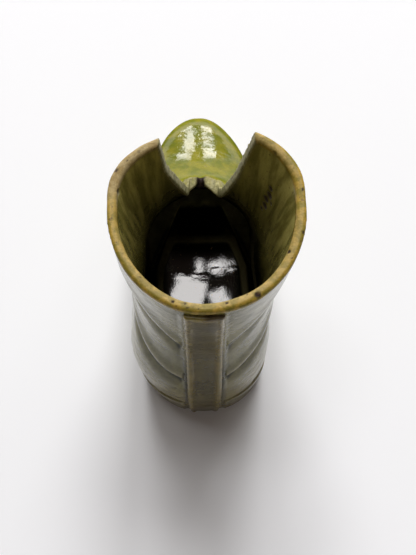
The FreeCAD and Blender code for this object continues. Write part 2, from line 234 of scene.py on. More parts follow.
# The floor inside the leg: its half width, which tapers towards the toe, and its round heel
HOLLOW_HALF_WIDTH = 16.5
HOLLOW_TAPER = 0.35
HOLLOW_TAPER_Y = -5
HOLLOW_HEEL_Y = -27
HOLLOW_HEEL_REACH = 21

# The bowl that the pooled glaze makes inside the heel, and the edges of its masks as shares of
# the floor's half width
BOWL_Y = -12.0
BOWL_RADIUS = 57.0
BOWL_LENGTH = (-20, 17)
BOWL_LIFT = 0.3
BOWL_UP = (0.5, 0.9)
BOWL_FRONT_Y = (17, 4)
BOWL_EDGE = (1.05, 0.92)
# Where the floor inside the leg is painted black as the well's shade
WELL_UP = (0.1, 0.4)
WELL_EDGE = (1.22, 1.12)
WELL_FRONT_Y = (26, 22)
STEEP_UP = (-0.4, -0.1)
STEEP_EDGE = (1.1, 1.0)
STEEP_FRONT_Y = (4, -2)
MIRROR_FRONT_Y = (-5, 2)
MIRROR_EDGE = (0.82, 0.62)

# The strap: its swell, its rounded lower end, and the panel in which the tab lies flush
STRAP_NOISE = ((0.10, 9, 1), (0.05, 2.8, 2))
STRAP_END_Z = (11, 0)
STRAP_END_SLIM = 0.14
STRAP_END_IN = 0.6
PANEL_REACH = (3.7, 2.9)
PANEL_BACKWARD = (-0.2, -0.7)
PANEL_FOOT_Z = (8, 16)
PANEL_TOP_Z = (STRAP_TOP - 2, STRAP_TOP - 6)
PANEL_CURVE_DEGREE = 7
PANEL_CORE = 0.9
OFF_PANEL_WEIGHT = 1e-6
TAB_FLUSH = 0.9
TAB_MOST = 0.6
TAB_MELT = 0.9
TAB_MELT_REACH = (4.2, 3.4)
TAB_MELT_FOOT_Z = (TAB_FOOT - 4, TAB_FOOT - 2)
TAB_MELT_TOP_Z = (STRAP_TOP, STRAP_TOP - 2)

# The brown stain at the strap's top, and where it and its ribs take the rim's colour
STAIN = (("z", STRAP_TOP - 2.6, STRAP_TOP - 0.8), ("x", -2.5, 0), ("x", 6, 4))
STAIN_SHARE = 0.75
STRAP_RIM_Z = (STRAP_TOP - 4, STRAP_TOP - 0.5)
STRAP_RIM_SHARE = 0.6
RIB_REACH = (2.4, 3.8)
RIB_SHARE = 0.25

# Colours of the glaze and the clay under it
OLIVE_DEEP = (0.100, 0.098, 0.026)
OLIVE_LIGHT = (0.185, 0.170, 0.050)
# The sole's and heel's own glaze, made paler as painted light on the heel
SOLE_DEEP = (0.130, 0.120, 0.055)
SOLE_LIGHT = (0.220, 0.200, 0.100)
STRAP_DEEP = (0.062, 0.053, 0.016)
STRAP_LIGHT = (0.115, 0.097, 0.028)
# The toe's greener glaze: partly its own colour, partly painted light from the front
TOE_DEEP = (0.140, 0.160, 0.014)
TOE_LIGHT = (0.235, 0.222, 0.022)
# Inside the leg: the streaked glaze, made pale as painted light falling in at the mouth
INSIDE_LIT_DEEP = (0.260, 0.235, 0.058)
INSIDE_LIT_PALE = (0.600, 0.540, 0.165)
# Black of the painted shade deep in the well
WELL_SHADE_BLACK = (0.003, 0.004, 0.002)
RIM_OLIVE = (0.235, 0.188, 0.028)
RIM_OCHRE = (0.400, 0.272, 0.044)
RIM_BROWN = (0.120, 0.070, 0.032)
# Worn clay, also the painted highlight along the rim's rubbed inner edge
WORN_DARK = (0.340, 0.250, 0.100)
WORN_PALE = (0.440, 0.350, 0.175)
RAW_DARK = (0.200, 0.190, 0.080)
RAW_PALE = (0.400, 0.375, 0.180)
# Dark chips, iron spots and stains, and the painted shade of the nick
CHIP_BROWN = (0.036, 0.022, 0.018)
# Ochre of thin glaze on ridges, also used for the painted light low on the heel
THIN_AND_LIT_OCHRE = (0.270, 0.235, 0.110)
POOLED_BLUE = (0.026, 0.033, 0.036)

# Each slot's glaze: its deep and light colour, how much clay shows through where it is thin, its
# sheen and its index of refraction
GLAZES = {
    "leg_glaze": (OLIVE_DEEP, OLIVE_LIGHT, 0.6, 0.5, 1.55),
    # The sole's colours are partly painted light on the heel
    "sole_glaze": (SOLE_DEEP, SOLE_LIGHT, 0.35, 0.45, 1.75),
    "strap_glaze": (STRAP_DEEP, STRAP_LIGHT, 0.75, 0.4, 1.55),
}

# Markings of the glaze, as their size in millimetres, their detail and the noise at which one
# colour gives way to the other
CLOUDS = (7, 5)
STREAKS = (3.2, 4, (1, 1, 8))
MOTTLE = (2.2, 4)
GRAIN = (0.55, 2)
RIPPLE = (3.5, 2)
TOE_CLOUDS = (5, 4)
WORN_PATCHES = (2.2, 4)
RAW_PATCHES = (1.4, 4)
RIM_SPECKS = (1.2, 2)
IRON_SPOTS = (1.3, 1)
CLOUD_SHARE = 0.6
STREAK_SHARE = 0.4
FLOW_EDGE = (0.36, 0.64)
TOE_EDGE = (0.35, 0.65)
INSIDE_EDGE = (0.36, 0.66)
RIM_EDGE = (0.4, 0.6)
WORN_EDGE = (0.35, 0.62)
RAW_PATCH_EDGE = (0.36, 0.64)
SPECK_EDGE = (0.66, 0.76)
SPECK_SHARE = 0.5
IRON_EDGE = (0.70, 0.76)
IRON_SHARE = 0.6
GRAIN_EDGE = (0.3, 0.7)
GRAIN_SHADES = (0.9, 1.07)

# The hollowness at which the glaze is thin on a ridge or pooled in a hollow, how much it shows,
# and how much less of it there is inside the leg
THIN_HOLLOW = (-0.05, -0.35)
POOL_HOLLOW = (0.02, 0.30)
POOL_SHARE = 0.8
INSIDE_POOL_LOSS = 0.8
CORNER_POOL = 0.8

# Roughness, how far pooled glaze and the rim lose their sheen, and where the sheen gives way at a
# grazing view, gently everywhere and fully on the toe
ROUGHNESS_EDGE = (0.3, 0.7)
ROUGHNESS = (0.08, 0.15)
RIM_ROUGHNESS = 0.26
WELL_ROUGHNESS = 0.05
BARE_ROUGHNESS = 0.62
POOL_DULL = 0.85
RIM_DULL = 0.75
GRAZING_BLEND = 0.5
GRAZING = (0.6, 1.0)
GRAZING_DULL = 0.75
TOE_GRAZING = (0.42, 0.72)

# Heights of the fine relief
RIPPLE_HEIGHT = 0.18
INSIDE_RIPPLE_HEIGHT = 0.03
GRAIN_HEIGHT = 0.015
RIM_GRAIN_HEIGHT = 0.06
BARE_GRAIN_HEIGHT = 0.16


def step_up(value, low, high):
    """0 at low, 1 at high, and smooth between; low may be the larger."""
    t = np.clip((value - low) / (high - low), 0, 1)
    return t * t * (3 - 2 * t)


def within(places, zone):
    """1 inside a zone and 0 outside it."""
    measures = {
        "x": places[:, 0], "y": places[:, 1], "z": places[:, 2],
        "beside_notch": np.abs(places[:, 0] - NOTCH_X),
        "beside_seam": np.abs(places[:, 0] - SEAM_X),
    }
    share = 1.0
    for measure, low, high in zone:
        share = share * step_up(measures[measure], low, high)
    return share


# Mesh helpers

def copy_of(nodes, lapped):
    """New object with a welded copy of some solids' meshes, lapped at the seam if need be."""
    both = bmesh.new()
    for node in nodes:
        both.from_mesh(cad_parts[node].data)
    bmesh.ops.remove_doubles(both, verts=both.verts, dist=WELD_REACH * MM)
    if lapped:
        for vert in both.verts:
            if abs(vert.co.x / MM - SEAM_X) < SEAM_REACH:
                faces = vert.link_faces
                inwards = sum(face.calc_center_median().x for face in faces) / len(faces)
                vert.co.x += math.copysign(SEAM_OVERLAP * MM, vert.co.x - inwards)
    mesh = bpy.data.meshes.new(nodes[0])
    both.to_mesh(mesh)
    both.free()
    obj = bpy.data.objects.new(nodes[0] + "_glazed", mesh)
    bpy.context.scene.collection.objects.link(obj)
    return obj


def remesh(obj, voxel):
    change = obj.modifiers.new("remesh", "REMESH")
    change.mode = "VOXEL"
    change.voxel_size = voxel * MM
    graph = bpy.context.evaluated_depsgraph_get()
    mesh = bpy.data.meshes.new_from_object(obj.evaluated_get(graph))
    obj.modifiers.clear()
    obj.data = mesh


def vertex_array(mesh):
    """Vertex places in millimetres."""
    places = np.empty(len(mesh.vertices) * 3)
    mesh.vertices.foreach_get("co", places)
    return places.reshape(-1, 3) / MM


def set_vertices(mesh, places):
    """Move the vertices to their new places, none of them below the floor."""
    places[:, 2] = np.maximum(places[:, 2], FLOOR_GAP)
    mesh.vertices.foreach_set("co", (places * MM).ravel())
    mesh.update()


def normal_array(mesh):
    normals = np.empty(len(mesh.vertices) * 3)
    mesh.vertices.foreach_get("normal", normals)
    return normals.reshape(-1, 3)


def neighbour_mean(mesh):
    """Function that averages a per-vertex array over each vertex's neighbours."""
    edges = np.empty(len(mesh.edges) * 2, int)
    mesh.edges.foreach_get("vertices", edges)
    first, second = edges.reshape(-1, 2).T
    count = len(mesh.vertices)
    total = np.bincount(first, minlength=count) + np.bincount(second, minlength=count)

    def mean(values):
        if values.ndim == 1:
            ahead = np.bincount(first, values[second], count)
            behind = np.bincount(second, values[first], count)
            return (ahead + behind) / total
        return np.stack([mean(values[:, axis]) for axis in range(values.shape[1])], axis=1)

    return mean


def repeated(mean, values, rounds):
    """Values averaged over the neighbours a number of times."""
    for _ in range(rounds):
        values = mean(values)
    return values


def even_out(places, mean):
    """Smooth voxel steps away without shrinking the form."""
    for _ in range(EVEN_ROUNDS):
        for factor in EVEN_STEPS:
            places = places + (mean(places) - places) * factor
    return places


def round_off(places, mean, rounds):
    """Round edges as a flowing glaze does."""
    for _ in range(rounds):
        places = places + (mean(places) - places) * EDGE_STEP
    return places


def noise_at(points, scale, seed):
    """Smooth noise at millimetre points, about -1 to 1, with features of the scale's size."""
    shift = Vector([seed * along for along in NOISE_SHIFT])
    return np.array([noise.noise(Vector(point) / scale + shift) for point in points])


def layered_noise(places, layers, where=slice(None)):
    """Sum of layers of noise, each as height, scale and seed, and 0 where none is wanted."""
    total = np.zeros(len(places))
    for height, scale, seed in layers:
        total[where] += height * noise_at(places[where], scale, seed)
    return total


def store(mesh, name, values):
    layer = mesh.attributes.new(name, "FLOAT", "POINT")
    layer.data.foreach_set("value", np.asarray(values, np.float32))


def hollowness(places, normals, mean):
    """How far each vertex lies below the surface round it, in millimetres."""
    settled = repeated(mean, places, HOLLOW_ROUNDS)
    return np.sum((settled - places) * normals, axis=1)


def glaze_over(obj, voxel, edge_rounds, shape=None, masks=None, melt=None, deepen=None):
    """Remesh and soften a copy of solids, shape it, and store what the glaze's colour follows."""
    remesh(obj, voxel)
    mesh = obj.data
    mean = neighbour_mean(mesh)
    places = even_out(vertex_array(mesh), mean)
    places = round_off(places, mean, edge_rounds)
    set_vertices(mesh, places)
    if shape:
        places = shape(places, normal_array(mesh))
        set_vertices(mesh, places)
    if melt:
        melted = repeated(mean, places, MELT_ROUNDS)
        places = places + (melted - places) * melt(places, normal_array(mesh))[:, None]
        set_vertices(mesh, places)
    normals = normal_array(mesh)
    hollow = hollowness(places, normals, mean)
    if deepen:
        crease = np.clip(hollow - CREASE_FROM, 0, CREASE_MOST) * deepen(places, normals)
        crease = repeated(mean, crease, CREASE_ROUNDS)
        places = places - normals * (CREASE_GAIN * crease)[:, None]
        set_vertices(mesh, places)
        normals = normal_array(mesh)
        hollow = hollowness(places, normals, mean)
    store(mesh, "hollow", mean(mean(hollow)))
    if masks:
        for name, values in masks(places, normals, hollow).items():
            store(mesh, name, values)
    mesh.shade_smooth()


# The leg

def strap_sides(heights):
    """The strap's left and right edge at each height, read from its solid."""
    corners = vertex_array(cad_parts["back_strap"].data)
    levels = np.arange(STRAP_FIRST_LEVEL, STRAP_TOP, STRAP_LEVEL_STEP)
    bands = [corners[np.abs(corners[:, 2] - level) < STRAP_LEVEL_REACH, 0] for level in levels]
    left = np.interp(heights, levels, [band.min() for band in bands])
    right = np.interp(heights, levels, [band.max() for band in bands])
    return left, right


def beyond_strap(places):
    """How far each vertex is from the nearer edge of the strap, less than 0 behind it."""
    left, right = strap_sides(places[:, 2])
    return np.maximum(left - places[:, 0], places[:, 0] - right)


def beside_strap(places):
    """1 in the corner between the leg and the strap, 0 further out."""
    beyond = beyond_strap(places)
    near = step_up(beyond, *CORNER_OUT) * step_up(beyond, *CORNER_IN)
    return near * step_up(places[:, 1], *CORNER_Y) * step_up(places[:, 2], *CORNER_Z)


def facing_out(places, normals):
    """How far each vertex of the leg faces away from its middle line: 1 out, -1 in."""
    out_x = places[:, 0] - SEAM_X
    out_y = places[:, 1] - np.clip(places[:, 1], LEG_BACK_Y, LEG_FRONT_Y)
    length = np.maximum(np.hypot(out_x, out_y), LEAST_REACH)
    return (normals[:, 0] * out_x + normals[:, 1] * out_y) / length


def notch_distance(places):
    """Distance of each vertex from the notch's outline, seen from the front."""
    best = np.full(len(places), FAR)
    spot = places[:, [0, 2]]
    for start, end in zip(NOTCH, NOTCH[1:]):
        start, end = np.array(start, float), np.array(end, float)
        run = end - start
        t = np.clip((spot - start) @ run / (run @ run), 0, 1)
        best = np.minimum(best, np.linalg.norm(spot - start - t[:, None] * run, axis=1))
    return np.where(places[:, 1] > NOTCH_BACK_Y, best, FAR)


def rim_chips():
    """Places and radii of the chips, the small ones scattered along the rim."""
    picks = random.Random(CHIP_SEED)
    chips = list(CHIPS)
    for _ in range(SMALL_CHIPS):
        angle = picks.uniform(0, 2 * math.pi)
        reach = picks.uniform(*SMALL_CHIP_REACH)
        back = math.cos(angle)
        x = RIM_HALF_WIDTH * reach * math.sin(angle)
        y = RIM_MIDDLE_Y - RIM_HALF_LENGTH * reach * back * (1 if back > 0 else RIM_FRONT_SHARE)
        chips.append((x, y, RIM_TOP - SMALL_CHIP_DROP, picks.uniform(*SMALL_CHIP_RADIUS)))
    return chips


def chip_distances(places):
    """Each chip's radius, and how many radii every vertex is from its middle."""
    for *middle, radius in rim_chips():
        yield radius, np.linalg.norm(places - np.array(middle), axis=1) / radius


def slim_toe(places):
    """The x of each vertex with the sides of the toe drawn in."""
    x, y, _ = places.T
    aside = x - SEAM_X
    share = np.where(aside < 0, *TOE_SLIM) * step_up(y, *TOE_SLIM_Y)
    return x - share * aside * np.abs(aside) / (np.abs(aside) + TOE_SLIM_EASE)


def shape_leg(places, normals):
    """Uneven rim, worn front, broken notch floor, chips and the swell of hand-pressed clay."""
    x, y, z = places.T
    wave = layered_noise(places, RIM_NOISE, z > RIM_TOP - RIM_DEPTH)
    sunk = step_up(z, RIM_TOP - RIM_DEPTH, RIM_TOP) * (RIM_SINK + RIM_WAVE * wave)
    sunk = sunk + within(places, WORN_FRONT) * (WORN_SINK + WORN_WAVE * wave)
    lobe = within(places, LOBE)
    foot = within(places, NOTCH_FOOT)
    floor = within(places, NOTCH_FLOOR)
    crumb = layered_noise(places, CRUMB_NOISE, floor > 0)
    point = np.clip(1 - np.abs(x - SEAM_X) / POINT_HALF_WIDTH, 0, 1) * within(places, POINT_HEIGHT)
    point *= step_up(y, *POINT_FROM_Y) * np.clip((POINT_FRONT_Y - y) / POINT_LENGTH, 0, 1)

    places = places.copy()
    places[:, 0] = slim_toe(places)
    places[:, 1] += LOBE_OUT * lobe + NOTCH_FOOT_OUT * foot + POINT_BACK * point
    places[:, 2] -= sunk + floor * (FLOOR_SINK + CRUMB_WAVE * crumb)
    for radius, away in chip_distances(places):
        places -= normals * (CHIP_DEPTH * radius * np.clip(1 - away ** 2, 0, 1))[:, None]

    cut = step_up(notch_distance(places), *CUT_EDGE)
    rough = layered_noise(places, CUT_NOISE, cut > 0) * cut
    fill = CORNER_FILL * beside_strap(places) * step_up(facing_out(places, normals), *OUTWARD)
    calm = 1 - TOE_CALM * step_up(y, *CALM_TOE_Y)
    swell = fill + calm * layered_noise(places, HAND_NOISE) + CUT_ROUGHNESS * rough
    places = places + normals * swell[:, None]
    places[:, 2] = np.minimum(places[:, 2], RIM_TOP - RIM_GAP)
    return places


def melt_leg(places, normals):
    """Where the glaze has run together: along the seam on the toe and beside the strap."""
    x, y, z = places.T
    toe = step_up(y, *TOE_MELT_Y) * step_up(normals[:, 2], *TOE_MELT_UP) * step_up(z, *TOE_MELT_Z)
    seam = toe * (TOE_MELT + SEAM_MELT * step_up(np.abs(x - SEAM_X), *SEAM_MELT_REACH))
    corner = beside_strap(places) * step_up(facing_out(places, normals), *OUTWARD)
    return np.maximum(seam, CORNER_MELT * corner)


def folded_leg(places, normals):
    """The outside of the leg, where the folds are."""
    _, y, z = places.T
    outside = step_up(facing_out(places, normals), *FOLD_OUTWARD) * step_up(y, *FOLD_Y)
    clear = np.maximum(step_up(beyond_strap(places), *FOLD_FROM_STRAP), step_up(y, *FOLD_CLEAR_Y))
    return outside * step_up(z, *FOLD_FOOT_Z) * step_up(z, *FOLD_TOP_Z) * clear


def leg_masks(places, normals, hollow):
    """Where the leg is inside, painted as shade deep down, rim, worn, raw, chipped, toe, painted
    lighter low, dull and pooled.
    """
    _, y, z = places.T
    facing = facing_out(places, normals)
    inner = step_up(facing, *INWARD)
    outer = step_up(facing, *OUTSIDE)
    # Painted shade in the nick at the notch's foot, then the chips' dark spots
    chip = within(places, NICK_SHADE_HEIGHT) * within(places, NICK_SHADE_LENGTH)
    for _, away in chip_distances(places):
        chip = np.maximum(chip, step_up(away, *CHIP_EDGE))
    rim = step_up(z, *RIM_Z)
    # The rim's rubbed inner edge: wear, and a painted highlight along it
    rubbed_highlight = step_up(hollow, *RUBBED_HIGHLIGHT_HOLLOW) * step_up(facing, *RUBBED_HIGHLIGHT_INWARD)
    return {
        "inner": inner,
        # Painted shade, black deep down the well
        "depth": np.clip((WELL_TOP_Z - z) / WELL_DEPTH, 0, 1) ** WELL_CURVE * inner,
        "rim": rim,
        "raw": step_up(notch_distance(places), *RAW_EDGE) * step_up(z, *RAW_TOP_Z),
        "worn": np.maximum(within(places, WORN_FRONT), RUBBED_HIGHLIGHT_SHARE * rim * rubbed_highlight),
        "chip": chip,
        # The toe's greener glaze, partly painted light
        "toe": step_up(y, *TOE_Y),
        # Painted light: the heel's outside made lighter low down
        "low": HEEL_LIGHT_SHARE * step_up(z, *HEEL_LIGHT_Z) * step_up(y, *HEEL_LIGHT_Y) * outer,
        "dull": VAMP_DULL * step_up(y, *VAMP_BACK_Y) * step_up(y, *VAMP_FRONT_Y) * outer,
        "pool": beside_strap(places) * step_up(facing, *OUTWARD) * step_up(z, *POOL_Z),
    }


# The outsole

def in_hollow(places, edge):
    """1 on the floor inside the leg, 0 under its walls and outside."""
    x, y, _ = places.T
    side = HOLLOW_HALF_WIDTH - HOLLOW_TAPER * np.maximum(y - HOLLOW_TAPER_Y, 0)
    back = np.minimum(y - HOLLOW_HEEL_Y, 0) / HOLLOW_HEEL_REACH
    return step_up(np.hypot((x - SEAM_X) / side, back), *edge)


def pool_floor(places, normals):
    """Glaze pooled inside the heel as a shallow bowl."""
    x, y, z = places.T
    along = np.clip(y - BOWL_Y, *BOWL_LENGTH)
    pooled = SOLE_TOP + BOWL_LIFT + ((x - SEAM_X) ** 2 + along ** 2) / (2 * BOWL_RADIUS)
    share = step_up(normals[:, 2], *BOWL_UP) * step_up(y, *BOWL_FRONT_Y)
    share = share * in_hollow(places, BOWL_EDGE)
    places = places.copy()
    places[:, 2] += share * np.maximum(pooled - z, 0)
    places[:, 0] = slim_toe(places)
    return places


def floor_masks(places, normals, hollow):
    """The painted shade of the well inside the leg, also on the bowl's steep edge, with a
    mirror-like middle.
    """
    y, up = places[:, 1], normals[:, 2]
    well_shade = step_up(up, *WELL_UP) * in_hollow(places, WELL_EDGE) * step_up(y, *WELL_FRONT_Y)
    steep = step_up(up, *STEEP_UP) * in_hollow(places, STEEP_EDGE) * step_up(y, *STEEP_FRONT_Y)
    well_shade = np.maximum(well_shade, steep)
    dull = np.maximum(step_up(y, *MIRROR_FRONT_Y), 1 - in_hollow(places, MIRROR_EDGE))
    # The floor inside the leg takes the well's painted shade
    return {"inner": well_shade, "depth": well_shade, "dull": dull * well_shade}


# The strap

def from_strap_middle(places):
    """How far each vertex's x is from the strap's middle line, to the left or right."""
    left, right = strap_sides(places[:, 2])
    return places[:, 0] - (left + right) / 2


def shape_strap(places, normals):
    """Hand-pressed swell, a rounded lower end, and the tab flush with the panel under it."""
    _, y, z = places.T
    aside = from_strap_middle(places)
    end = step_up(z, *STRAP_END_Z)
    panel = step_up(np.abs(aside), *PANEL_REACH) * step_up(normals[:, 1], *PANEL_BACKWARD)
    weight = np.where(panel > PANEL_CORE, 1.0, OFF_PANEL_WEIGHT)
    level = np.polyval(np.polyfit(z, y, PANEL_CURVE_DEGREE, w=weight), z)
    panel *= step_up(z, *PANEL_FOOT_Z) * step_up(z, *PANEL_TOP_Z)
    flush = TAB_FLUSH * panel * np.clip(level - y, -TAB_MOST, TAB_MOST)
    places = places + normals * layered_noise(places, STRAP_NOISE)[:, None]
    places[:, 0] += -aside * STRAP_END_SLIM * end
    places[:, 1] += STRAP_END_IN * end + flush
    return places


def melt_tab(places, normals):
    """Where the glaze hides the edges of the tab in the strap's panel."""
    z = places[:, 2]
    inside = step_up(np.abs(from_strap_middle(places)), *TAB_MELT_REACH)
    return TAB_MELT * inside * step_up(z, *TAB_MELT_FOOT_Z) * step_up(z, *TAB_MELT_TOP_Z)


def strap_masks(places, normals, hollow):
    """The brown stain at the strap's top, and the ochre on its top and ribs."""
    rib = step_up(np.abs(from_strap_middle(places)), *RIB_REACH)
    top = step_up(places[:, 2], *STRAP_RIM_Z)
    return {
        "chip": STAIN_SHARE * within(places, STAIN),
        "rim": np.maximum(STRAP_RIM_SHARE * top, RIB_SHARE * rib),
    }


# Materials

# Sockets of a mix node: its share, and the two inputs and the output for numbers and for colours
MIX_SHARE = 0
MIX_NUMBERS = (2, 3, 0)
MIX_COLOURS = (6, 7, 2)


class Net:
    """Short ways to build a material's nodes."""

    def __init__(self, name):
        self.material = bpy.data.materials.new(name)
        self.material.use_nodes = True
        self.tree = self.material.node_tree
        self.shader = self.tree.nodes["Principled BSDF"]
        self.place = self.tree.nodes.new("ShaderNodeTexCoord").outputs["Object"]

    def put(self, socket, value):
        if isinstance(value, bpy.types.NodeSocket):
            self.tree.links.new(value, socket)
        elif isinstance(value, tuple) and len(value) == 3 and socket.type == "RGBA":
            socket.default_value = (*value, 1)
        else:
            socket.default_value = value

    def attribute(self, name):
        node = self.tree.nodes.new("ShaderNodeAttribute")
        node.attribute_name = name
        return node.outputs["Fac"]

    def noise(self, size, detail, stretch=(1, 1, 1)):
        """Noise from 0 to 1 with features of about a size in millimetres."""
        scale = self.tree.nodes.new("ShaderNodeMapping")
        self.put(scale.inputs["Vector"], self.place)
        scale.inputs["Scale"].default_value = [1 / (size * MM * along) for along in stretch]
        node = self.tree.nodes.new("ShaderNodeTexNoise")
        self.put(node.inputs["Vector"], scale.outputs["Vector"])
        node.inputs["Scale"].default_value = 1.0
        node.inputs["Detail"].default_value = detail
        return node.outputs["Fac"]

    def spread(self, value, edge, start=0.0, end=1.0):
        """A value from start to end, as another one goes from one side of an edge to the other."""
        node = self.tree.nodes.new("ShaderNodeMapRange")
        node.interpolation_type = "SMOOTHSTEP"
        names = ("From Min", "From Max", "To Min", "To Max")
        for name, number in zip(names, (*edge, start, end)):
            node.inputs[name].default_value = number
        self.put(node.inputs["Value"], value)
        return node.outputs["Result"]

    def math(self, kind, first, second):
        node = self.tree.nodes.new("ShaderNodeMath")
        node.operation = kind
        self.put(node.inputs[0], first)
        self.put(node.inputs[1], second)
        return node.outputs[0]

    def times(self, first, second):
        return self.math("MULTIPLY", first, second)

    def most(self, first, second):
        return self.math("MAXIMUM", first, second)

    def mix(self, share, first, second, blend="MIX"):
        """A colour between two, or one blended over the other."""
        node = self.tree.nodes.new("ShaderNodeMix")
        node.data_type = "RGBA"
        node.blend_type = blend
        return self.between(node, MIX_COLOURS, share, first, second)

    def blend(self, share, first, second):
        """A number between two."""
        node = self.tree.nodes.new("ShaderNodeMix")
        return self.between(node, MIX_NUMBERS, share, first, second)

    def between(self, node, sockets, share, first, second):
        """The output of a mix node with its share and its two inputs put in."""
        low, high, result = sockets
        self.put(node.inputs[MIX_SHARE], share)
        self.put(node.inputs[low], first)
        self.put(node.inputs[high], second)
        return node.outputs[result]


def flowing_colour(net, inner, toe, deep, light):
    """The glaze's colour: streaked, greener on the toe, painted pale inside for light and black for
    shade down the well.
    """
    streaks = net.noise(*STREAKS)
    clouds = net.noise(*CLOUDS)
    flow = net.math("ADD", net.times(clouds, CLOUD_SHARE), net.times(streaks, STREAK_SHARE))
    colour = net.mix(net.spread(flow, FLOW_EDGE), deep, light)
    # Greener toe glaze, partly painted light where the front light falls
    toe_colour = net.mix(net.spread(net.noise(*TOE_CLOUDS), TOE_EDGE), TOE_DEEP, TOE_LIGHT)
    colour = net.mix(toe, colour, toe_colour)
    # Painted light: the inside walls' streaked glaze is made pale
    inside = net.mix(net.spread(streaks, INSIDE_EDGE), INSIDE_LIT_DEEP, INSIDE_LIT_PALE)
    # Painted shade: the inside turns black down the well
    inside = net.mix(net.attribute("depth"), inside, WELL_SHADE_BLACK)
    return net.mix(inner, colour, inside)


def pooled_glaze(net, inner):
    """Where the glaze has pooled, in hollows and beside the strap."""
    outside = net.math("SUBTRACT", 1.0, net.times(inner, INSIDE_POOL_LOSS))
    pool = net.times(net.spread(net.attribute("hollow"), POOL_HOLLOW, 0.0, POOL_SHARE), outside)
    return net.most(pool, net.times(net.attribute("pool"), CORNER_POOL))


def wear_over(net, colour, rim, worn, raw, chip, mottle):
    """A glaze's colour with the ochre rim, worn and raw clay, chips and iron spots, a painted rim
    highlight and nick shade over it.
    """
    rim_colour = net.mix(net.spread(mottle, RIM_EDGE), RIM_OLIVE, RIM_OCHRE)
    specks = net.spread(net.noise(*RIM_SPECKS), SPECK_EDGE, 0.0, SPECK_SHARE)
    rim_colour = net.mix(specks, rim_colour, RIM_BROWN)
    colour = net.mix(rim, colour, rim_colour)
    worn_colour = net.mix(net.spread(net.noise(*WORN_PATCHES), WORN_EDGE), WORN_DARK, WORN_PALE)
    # Worn clay, and the painted highlight on the rim's inner edge
    colour = net.mix(worn, colour, worn_colour)
    raw_colour = net.mix(net.spread(net.noise(*RAW_PATCHES), RAW_PATCH_EDGE), RAW_DARK, RAW_PALE)
    colour = net.mix(raw, colour, raw_colour)
    # Dark chips, spots and stains, and the nick's painted shade
    colour = net.mix(chip, colour, CHIP_BROWN)
    iron = net.spread(net.noise(*IRON_SPOTS), IRON_EDGE, 0.0, IRON_SHARE)
    return net.mix(iron, colour, RIM_BROWN)


def give_gloss(net, inner, toe, rim, bare, pool, mottle, sheen, ior):
    """Smooth glaze with a rougher rim and bare clay, and less sheen where it is dull."""
    roughness = net.spread(mottle, ROUGHNESS_EDGE, *ROUGHNESS)
    roughness = net.blend(rim, roughness, RIM_ROUGHNESS)
    roughness = net.blend(net.times(inner, net.attribute("depth")), roughness, WELL_ROUGHNESS)
    net.put(net.shader.inputs["Roughness"], net.blend(bare, roughness, BARE_ROUGHNESS))
    net.shader.inputs["IOR"].default_value = ior
    dull = net.most(net.times(pool, POOL_DULL), net.attribute("dull"))
    dull = net.most(dull, net.times(rim, RIM_DULL))
    layer = net.tree.nodes.new("ShaderNodeLayerWeight")
    layer.inputs["Blend"].default_value = GRAZING_BLEND
    facing = layer.outputs["Facing"]
    dull = net.most(dull, net.spread(facing, GRAZING, 0.0, GRAZING_DULL))
    dull = net.most(dull, net.times(toe, net.spread(facing, TOE_GRAZING)))
    net.put(net.shader.inputs["Specular IOR Level"], net.blend(dull, sheen, 0.0))


def give_relief(net, inner, rim, bare, grain):
    """Ripples in the glaze and fine pits, deepest in bare clay."""
    height = net.blend(inner, RIPPLE_HEIGHT * MM, INSIDE_RIPPLE_HEIGHT * MM)
    ripples = net.times(net.noise(*RIPPLE), height)
    depth = net.blend(rim, GRAIN_HEIGHT * MM, RIM_GRAIN_HEIGHT * MM)
    pits = net.times(grain, net.blend(bare, depth, BARE_GRAIN_HEIGHT * MM))
    bump = net.tree.nodes.new("ShaderNodeBump")
    bump.inputs["Distance"].default_value = 1.0
    net.put(bump.inputs["Height"], net.math("ADD", ripples, pits))
    net.put(net.shader.inputs["Normal"], bump.outputs["Normal"])


def glaze_material(name, deep, light, thin_share, sheen, ior):
    """Glaze over clay: thin on ridges, pooled in hollows, worn and chipped by the masks, which also
    paint light and shade.
    """
    net = Net(name)
    inner, toe, rim = net.attribute("inner"), net.attribute("toe"), net.attribute("rim")
    worn, raw, chip = net.attribute("worn"), net.attribute("raw"), net.attribute("chip")
    bare = net.most(net.most(worn, raw), chip)
    mottle = net.noise(*MOTTLE)
    grain = net.noise(*GRAIN)

    colour = flowing_colour(net, inner, toe, deep, light)
    # Thin glaze on ridges in ochre, and the same ochre as painted light low on the heel
    ridges = net.spread(net.attribute("hollow"), THIN_HOLLOW, 0.0, thin_share)
    colour = net.mix(net.most(ridges, net.attribute("low")), colour, THIN_AND_LIT_OCHRE)
    pool = pooled_glaze(net, inner)
    colour = net.mix(pool, colour, POOLED_BLUE)
    colour = wear_over(net, colour, rim, worn, raw, chip, mottle)
    shades = net.spread(grain, GRAIN_EDGE, *GRAIN_SHADES)
    net.put(net.shader.inputs["Base Color"], net.mix(1.0, colour, shades, "MULTIPLY"))
    give_gloss(net, inner, toe, rim, bare, pool, mottle, sheen, ior)
    give_relief(net, inner, rim, bare, grain)
    return net.material


# Camera, light and floor

CAMERA_PLACE = (-2.571, -150.66, 349.6)
CAMERA_PITCH = 67.19
CAMERA_YAW = -1.36
CAMERA_ROLL = 0.13
LENS = 68.1
SENSOR = 36.0

# Window panes in front of the toe: left and right edge and low and high edge in degrees seen from
# the boot, and how bright they are. The last two are dim ones at the sides.
PANES = (
    (-13, -2.5, 9, 46, 8.5), (-22, -13, 30, 44, 8.5), (-17, -6, 0.5, 6.2, 9.0),
    (3.5, 14.5, 38, 46, 8.5), (2.2, 19, 14, 35, 8.5), (3, 16, 0.3, 9.6, 9.0),
    (-62, -36, 28, 46, 0.4), (36, 62, 28, 46, 1.5),
)
